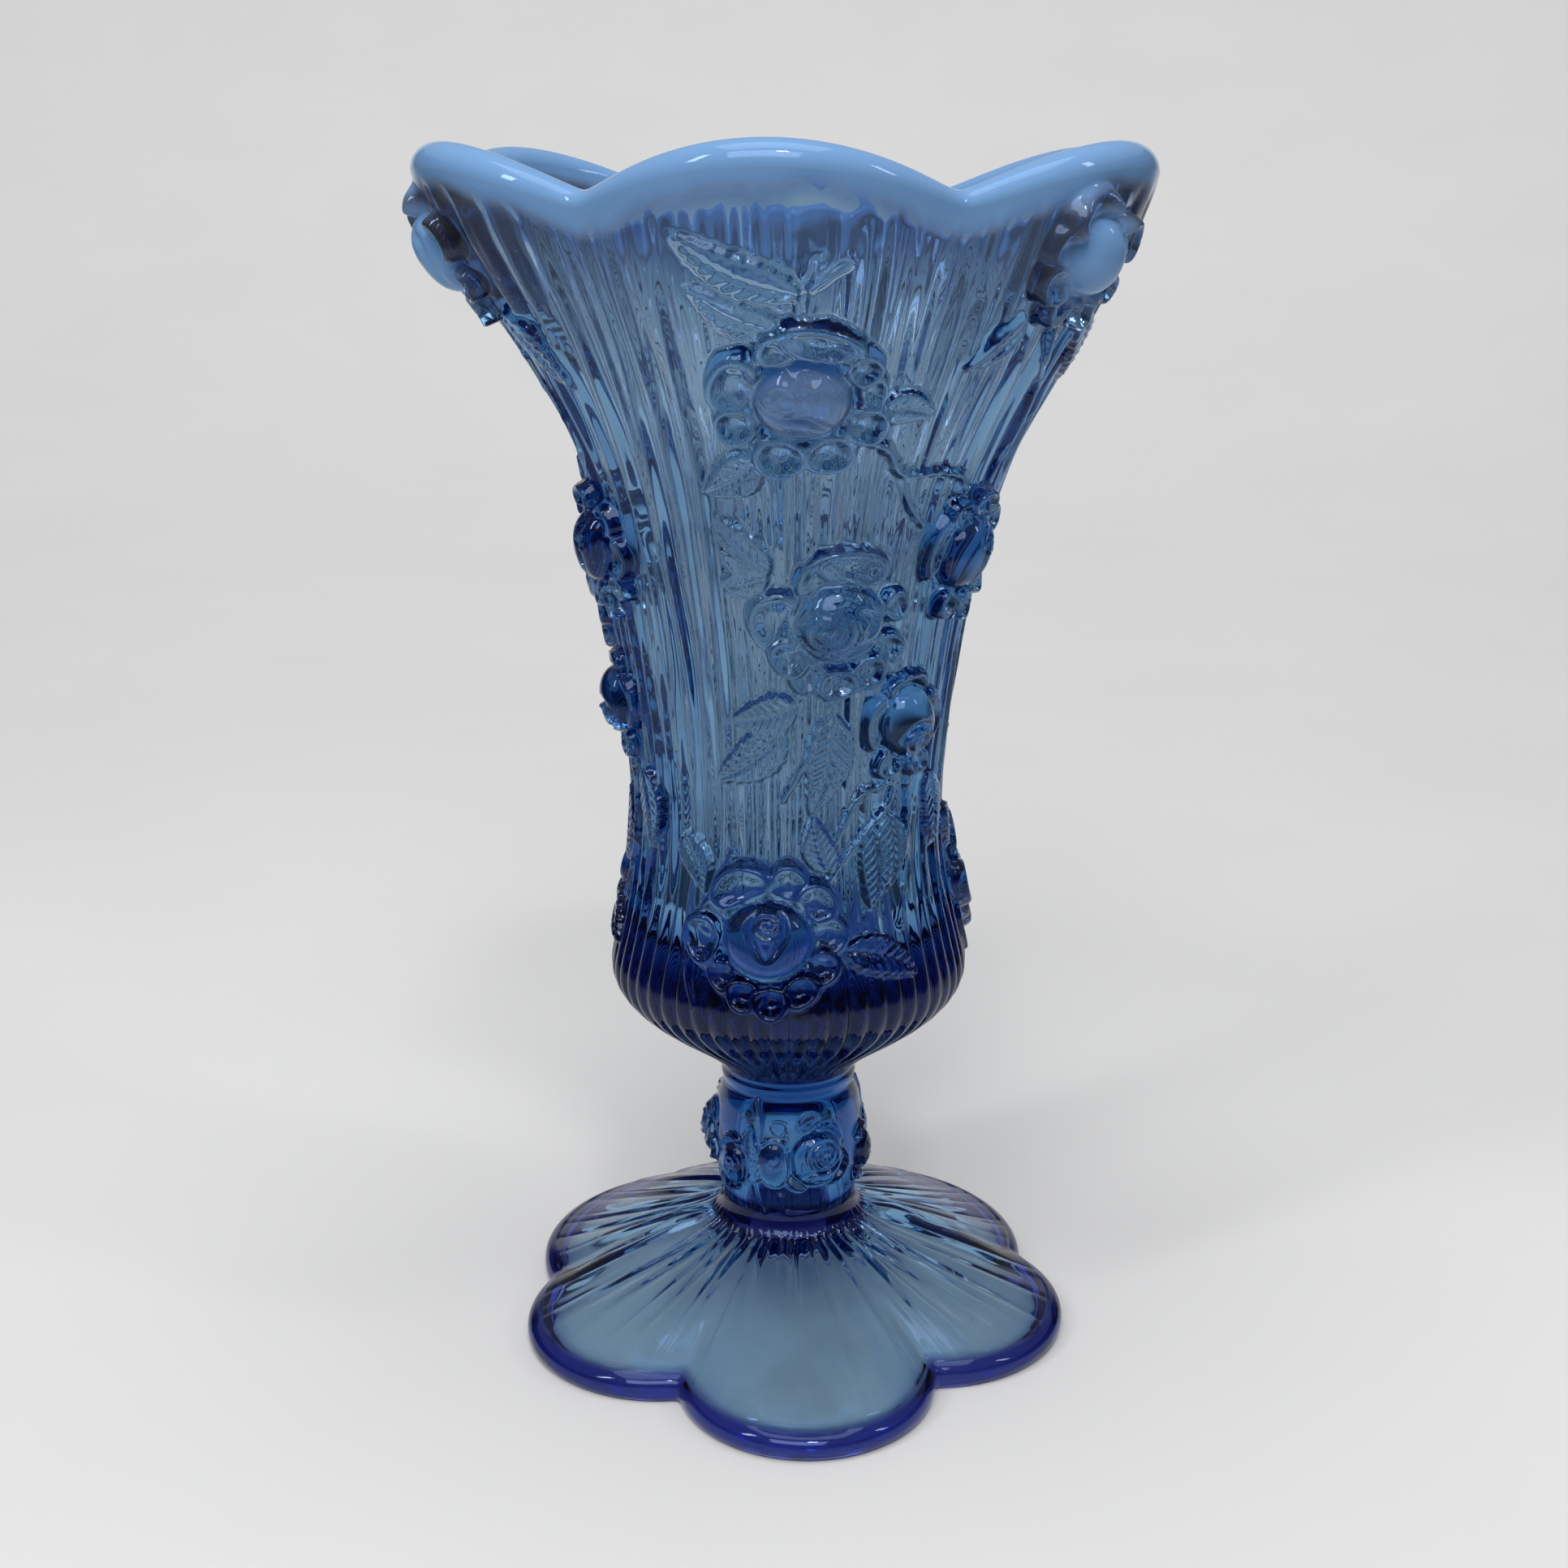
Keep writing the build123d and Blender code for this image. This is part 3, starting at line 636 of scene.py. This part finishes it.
def bowl_rows(sheet):
    """The outside of the bowl, the bead of the lip, and the inside down to the floor."""
    azimuth = turn[None, :]
    top = lip_top(turn)[None, :]
    full = lobe(turn, 0.08)[None, :]
    bead_high = BEAD_HIGH + LOBE_HIGHER * full
    bead_thick = BEAD_THICK + LOBE_THICKER * full
    shoulder = top - bead_high

    low = sheet.z[sheet.z < FLARE_FROM]
    start, end = np.interp([FLARE_FROM, FLARE_TO], sheet.z, sheet.s)
    reach = end - start
    even = np.interp(np.linspace(0, 1, int(reach / STEP)), (sheet.s - start) / reach, sheet.z)
    share = ((even - FLARE_FROM) / (even[-1] - FLARE_FROM))[:, None]
    z = np.concatenate([low[:, None] + 0 * azimuth, FLARE_FROM + share * (shoulder - FLARE_FROM)])
    r = bowl_radius(azimuth, z)
    slope = bowl_radius(azimuth, z + 0.5) - bowl_radius(azimuth, z - 0.5)  # over 1 mm of height
    length = np.hypot(1, slope)
    swell = LIP_SWELL * smoothstep(16, 1.5, top - z)
    height = sheet.sample(sheet.height, z) * smoothstep(1.0, 6.0, shoulder - z) + swell
    outer_r = r + height / length
    outer_z = z - height * slope / length * smoothstep(0.5, 5.0, shoulder - z)
    milk = np.maximum(sheet.sample(sheet.milk, z), milkiness(azimuth, z)) + body_opal(z)

    angles = np.linspace(0, np.pi, 22)[1:, None]
    middle = outer_r[-1:] - bead_thick / 2
    bead_r = middle + bead_thick / 2 * np.cos(angles)
    bead_z = shoulder + bead_high * np.sin(angles) ** 0.92
    bead_milk = np.ones_like(bead_r)

    hollow = bent(HOLLOW[::-1])
    hollow_z, hollow_r = np.array(hollow).T
    down = np.linspace(0, 1, 130)[1:, None]
    inner_z = shoulder + down * (HOLLOW_TOP - shoulder)
    thick = WALL + (bead_thick - WALL) * smoothstep(30, 0, shoulder - inner_z)
    inner_r = bowl_radius(azimuth, inner_z) + LIP_SWELL * smoothstep(16, 1.5, top - inner_z) - thick
    join = inner_r[-1:] - hollow_r[0]
    floor_r, floor_z = profile_rows(np.column_stack([hollow_r, hollow_z]), 1.0)
    floor_r, floor_z = floor_r[1:-1, None], floor_z[1:-1, None]
    floor_r = floor_r + join * smoothstep(66.0, HOLLOW_TOP, floor_z) * smoothstep(0, 20, floor_r)
    inner_milk = milkiness(azimuth, inner_z - 2.0) + body_opal(inner_z)

    rows_r = np.concatenate([outer_r, bead_r, inner_r, floor_r + 0 * azimuth])
    rows_z = np.concatenate([outer_z, bead_z, inner_z, floor_z + 0 * azimuth])
    rows_milk = np.concatenate([milk, bead_milk, inner_milk, 0 * floor_r + 0 * azimuth])
    return rows_r, rows_z, rows_milk


def thick_glass_and_painted_shade(r, z):
    """Where the glass is painted dark, 0 to 1: at the foot's rim, the stem's root and the bowl's base;
    partly the tint of thick glass, partly painted shade.
    """
    rim = smoothstep(5.0, 1.8, foot_outline(turn)[None, :] - r) * (z < 6.5)
    root = smoothstep(27.0, 22.0, z) * smoothstep(17.0, 19.0, z) * (r < 16.0)
    base = 0.9 * smoothstep(54.0, 60.0, z) * smoothstep(93.0, 74.0, z) * (r < 45.0)
    # on the outside only, and less on the roses that stand out of it
    out = r - bowl_radius(turn[None, :], z)
    base = base * smoothstep(-2.6, -1.8, out) * (1 - 0.85 * smoothstep(0.3, 2.2, out))
    return np.maximum(np.maximum(rim, root), base)


# ---- meshes ------------------------------------------------------------------------
def make_skin(name, rows, bottom, top):
    """A closed mesh from rows of r, z and milk; bottom and top are its ends on the axis."""
    r, z, milk = rows
    count = r.shape[0]
    x = r * np.sin(turn)[None, :]
    y = -r * np.cos(turn)[None, :]
    places = np.column_stack([x.ravel(), y.ravel(), z.ravel()])
    places = np.vstack([places, [0, 0, bottom], [0, 0, top]]) * MM
    grid = np.arange(count * COLUMNS, dtype=np.int32).reshape(count, COLUMNS)
    beside = np.roll(grid, -1, 1)
    quads = np.stack([grid[:-1], beside[:-1], beside[1:], grid[1:]], -1).reshape(-1, 4)
    first, last = count * COLUMNS, count * COLUMNS + 1
    low_fan = np.column_stack([np.full(COLUMNS, first), beside[0], grid[0]])
    high_fan = np.column_stack([np.full(COLUMNS, last), grid[-1], beside[-1]])
    corners = np.concatenate([quads.ravel(), low_fan.ravel(), high_fan.ravel()]).astype(np.int32)
    sizes = np.concatenate([np.full(len(quads), 4), np.full(2 * COLUMNS, 3)]).astype(np.int32)

    mesh = bpy.data.meshes.new(name)
    mesh.vertices.add(len(places))
    mesh.vertices.foreach_set("co", places.astype(np.float32).ravel())
    mesh.loops.add(len(corners))
    mesh.loops.foreach_set("vertex_index", corners)
    mesh.polygons.add(len(sizes))
    mesh.polygons.foreach_set("loop_start", np.concatenate([[0], np.cumsum(sizes)[:-1]]).astype(np.int32))
    mesh.polygons.foreach_set("use_smooth", np.ones(len(sizes), bool))
    mesh.update(calc_edges=True)
    # milk is the opal; the second field is where thick glass and painted shade darken the glass
    for field_name, field in (("milk", milk), ("deep_and_shade", thick_glass_and_painted_shade(r, z))):
        values = np.concatenate([field.ravel(), [field[0].mean(), field[-1].mean()]])
        made = mesh.attributes.new(field_name, "FLOAT", "POINT")
        made.data.foreach_set("value", values.astype(np.float32))
    mesh.validate()
    thing = bpy.data.objects.new(name, mesh)
    bpy.context.scene.collection.objects.link(thing)
    return thing


# ---- materials ---------------------------------------------------------------------
def node(tree, kind, **values):
    made = tree.nodes.new(kind)
    for key, value in values.items():
        if key in made.inputs:
            made.inputs[key].default_value = value
        else:
            setattr(made, key, value)
    return made


def ramp(tree, source, stops):
    made = tree.nodes.new("ShaderNodeValToRGB")
    while len(made.color_ramp.elements) < len(stops):
        made.color_ramp.elements.new(0.5)
    for element, (place, colour) in zip(made.color_ramp.elements, stops):
        element.position = place
        element.color = (*colour, 1)
    tree.links.new(source, made.inputs["Fac"])
    return made.outputs["Color"]


def glass_material():
    made = bpy.data.materials.new("blue_opal_glass")
    made.use_nodes = True
    tree = made.node_tree
    tree.nodes.clear()
    link = tree.links.new
    out = tree.nodes.new("ShaderNodeOutputMaterial")
    shader = node(tree, "ShaderNodeBsdfPrincipled")
    shader.inputs["IOR"].default_value = GLASS_IOR
    shader.inputs["Specular Tint"].default_value = REFLECTED
    milk = node(tree, "ShaderNodeAttribute", attribute_name="milk")
    place = tree.nodes.new("ShaderNodeTexCoord")
    cloud = node(tree, "ShaderNodeTexNoise", Scale=CLOUD_SCALE, Detail=3.0)
    link(place.outputs["Object"], cloud.inputs["Vector"])
    shifted = node(tree, "ShaderNodeMath", operation="MULTIPLY_ADD")
    link(cloud.outputs["Fac"], shifted.inputs[0])
    shifted.inputs[1].default_value = CLOUD_SWING
    shifted.inputs[2].default_value = -CLOUD_SWING / 2
    cloudy = node(tree, "ShaderNodeMath", operation="ADD")
    link(shifted.outputs[0], cloudy.inputs[0])
    link(milk.outputs["Fac"], cloudy.inputs[1])
    colour = ramp(tree, cloudy.outputs[0], TINTS)
    # thick glass and painted shade: the base colour is darkened at the foot's rim, the stem's root and the
    # bowl's base
    deep_and_shade = node(tree, "ShaderNodeAttribute", attribute_name="deep_and_shade")
    thick_and_shade_mix = node(tree, "ShaderNodeMix", data_type="RGBA", blend_type="MULTIPLY")
    link(deep_and_shade.outputs["Fac"], thick_and_shade_mix.inputs["Factor"])
    link(colour, thick_and_shade_mix.inputs["A"])
    thick_and_shade_mix.inputs["B"].default_value = THICK_GLASS_AND_SHADE_TINT
    link(thick_and_shade_mix.outputs["Result"], shader.inputs["Base Color"])
    clear = ramp(tree, cloudy.outputs[0], CLEARNESS)
    link(clear, shader.inputs["Transmission Weight"])
    ripple = node(tree, "ShaderNodeTexNoise", Scale=RIPPLE_SCALE, Detail=2.0)
    link(place.outputs["Object"], ripple.inputs["Vector"])
    bump = node(tree, "ShaderNodeBump", Strength=0.05, Distance=RIPPLE_HEIGHT)
    link(ripple.outputs["Fac"], bump.inputs["Height"])
    link(bump.outputs["Normal"], shader.inputs["Normal"])
    worn = ramp(tree, ripple.outputs["Fac"], WORN)
    link(worn, shader.inputs["Roughness"])
    link(shader.outputs[0], out.inputs["Surface"])
    depth = node(tree, "ShaderNodeVolumeAbsorption", Color=DEPTH_COLOUR, Density=DEPTH_DENSITY)
    link(depth.outputs[0], out.inputs["Volume"])
    return made


def stage_material():
    made = bpy.data.materials.new("paper_with_painted_shade")
    made.use_nodes = True
    tree = made.node_tree
    shader = tree.nodes["Principled BSDF"]
    place = tree.nodes.new("ShaderNodeTexCoord")
    grain = node(tree, "ShaderNodeTexNoise", Scale=9.0, Detail=4.0)
    tree.links.new(place.outputs["Object"], grain.inputs["Vector"])
    paper = ramp(tree, grain.outputs["Fac"], PAPER)
    # the sweep is pale round the vase and behind it; at the sides and in front its colour is painted dark,
    # painted shade for the unlit room
    axes = tree.nodes.new("ShaderNodeSeparateXYZ")
    tree.links.new(place.outputs["Object"], axes.inputs[0])
    side = node(tree, "ShaderNodeMath", operation="ABSOLUTE")
    tree.links.new(axes.outputs["X"], side.inputs[0])
    lateral = node(tree, "ShaderNodeMath", operation="MULTIPLY_ADD")
    tree.links.new(axes.outputs["Y"], lateral.inputs[0])
    lateral.inputs[1].default_value = -WIDENING
    tree.links.new(side.outputs[0], lateral.inputs[2])
    spread = node(tree, "ShaderNodeMapRange", interpolation_type="SMOOTHSTEP")
    spread.inputs["From Min"].default_value = PALE_SIDE
    spread.inputs["From Max"].default_value = DIM_SIDE
    tree.links.new(lateral.outputs[0], spread.inputs["Value"])
    near = node(tree, "ShaderNodeMapRange", interpolation_type="SMOOTHSTEP")
    near.inputs["From Min"].default_value = PALE_FRONT
    near.inputs["From Max"].default_value = DIM_FRONT
    tree.links.new(axes.outputs["Y"], near.inputs["Value"])
    shade_share = node(tree, "ShaderNodeMath", operation="MAXIMUM")
    tree.links.new(spread.outputs["Result"], shade_share.inputs[0])
    tree.links.new(near.outputs["Result"], shade_share.inputs[1])
    painted_room_shade = ramp(tree, shade_share.outputs[0], [(0.0, (1, 1, 1)), (1.0, PAINTED_ROOM_SHADE)])
    colour = node(tree, "ShaderNodeMix", data_type="RGBA", blend_type="MULTIPLY")
    colour.inputs["Factor"].default_value = 1.0
    tree.links.new(paper, colour.inputs["A"])
    tree.links.new(painted_room_shade, colour.inputs["B"])
    tree.links.new(colour.outputs["Result"], shader.inputs["Base Color"])
    shader.inputs["Roughness"].default_value = 0.75
    return made


# ---- build -------------------------------------------------------------------------
bowl_sheet = drawn_bowl()
knop_sheet = drawn_knop()
foot, stem, bowl = foot_rows(), stem_rows(knop_sheet), bowl_rows(bowl_sheet)
# each stretch starts on the last row of the one before it
skin_rows = [np.concatenate([a, b[1:], c[1:]]) for a, b, c in zip(foot, stem, bowl)]
vase = make_skin("vase_glass", skin_rows, KNOP_HOLLOW_TOP, HOLLOW[0][0])
vase.data.materials.append(glass_material())
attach(vase, "root")
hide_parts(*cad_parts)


# ---- stage, lights, camera ---------------------------------------------------------
def make_stage():
    """A round sweep: flat under the vase, curving up far from it."""
    line = bent([(0.0, 0.0), (0.35, 0.0), (0.7, 0.0), (1.1, 0.05), (1.5, 0.22), (1.9, 0.55), (2.2, 1.0)], 8)
    sides = 96
    angles = [2 * math.pi * i / sides for i in range(sides)]
    points = [(r * math.sin(angle), -r * math.cos(angle), z) for r, z in line for angle in angles]
    faces = [
        (k * sides + i, k * sides + (i + 1) % sides, (k + 1) * sides + (i + 1) % sides, (k + 1) * sides + i)
        for k in range(len(line) - 1)
        for i in range(sides)
    ]
    mesh = bpy.data.meshes.new("stage")
    mesh.from_pydata(points, [], faces)
    for polygon in mesh.polygons:
        polygon.use_smooth = True
    thing = bpy.data.objects.new("stage", mesh)
    bpy.context.scene.collection.objects.link(thing)
    mesh.materials.append(stage_material())


def area_light(name, place, target, size, size_y, power):
    light = bpy.data.lights.new(name, "AREA")
    light.shape = "RECTANGLE"
    light.size, light.size_y, light.energy = size, size_y, power
    thing = bpy.data.objects.new(name, light)
    bpy.context.scene.collection.objects.link(thing)
    thing.location = place
    away = np.array(place) - np.array(target)
    thing.rotation_euler = (
        math.atan2(math.hypot(away[0], away[1]), away[2]),
        0,
        math.atan2(away[0], -away[1]),
    )


make_stage()
for light_settings in LIGHTS:
    area_light(*light_settings)

world = bpy.data.worlds.new("room")
world.use_nodes = True
background = world.node_tree.nodes["Background"]
background.inputs["Color"].default_value = ROOM_COLOUR
background.inputs["Strength"].default_value = ROOM_STRENGTH
bpy.context.scene.world = world

camera_data = bpy.data.cameras.new("camera")
camera_data.lens = CAMERA_LENS
camera_data.sensor_width = CAMERA_SENSOR
camera = bpy.data.objects.new("camera", camera_data)
camera.location = CAMERA_PLACE
camera.rotation_euler = (math.radians(90 - CAMERA_DOWN), 0, 0)
bpy.context.scene.collection.objects.link(camera)
bpy.context.scene.camera = camera

scene = bpy.context.scene
scene.view_settings.view_transform = "Standard"
scene.cycles.use_denoising = True
scene.cycles.max_bounces = 24
scene.cycles.transmission_bounces = 24
scene.cycles.glossy_bounces = 12
scene.cycles.transparent_max_bounces = 24
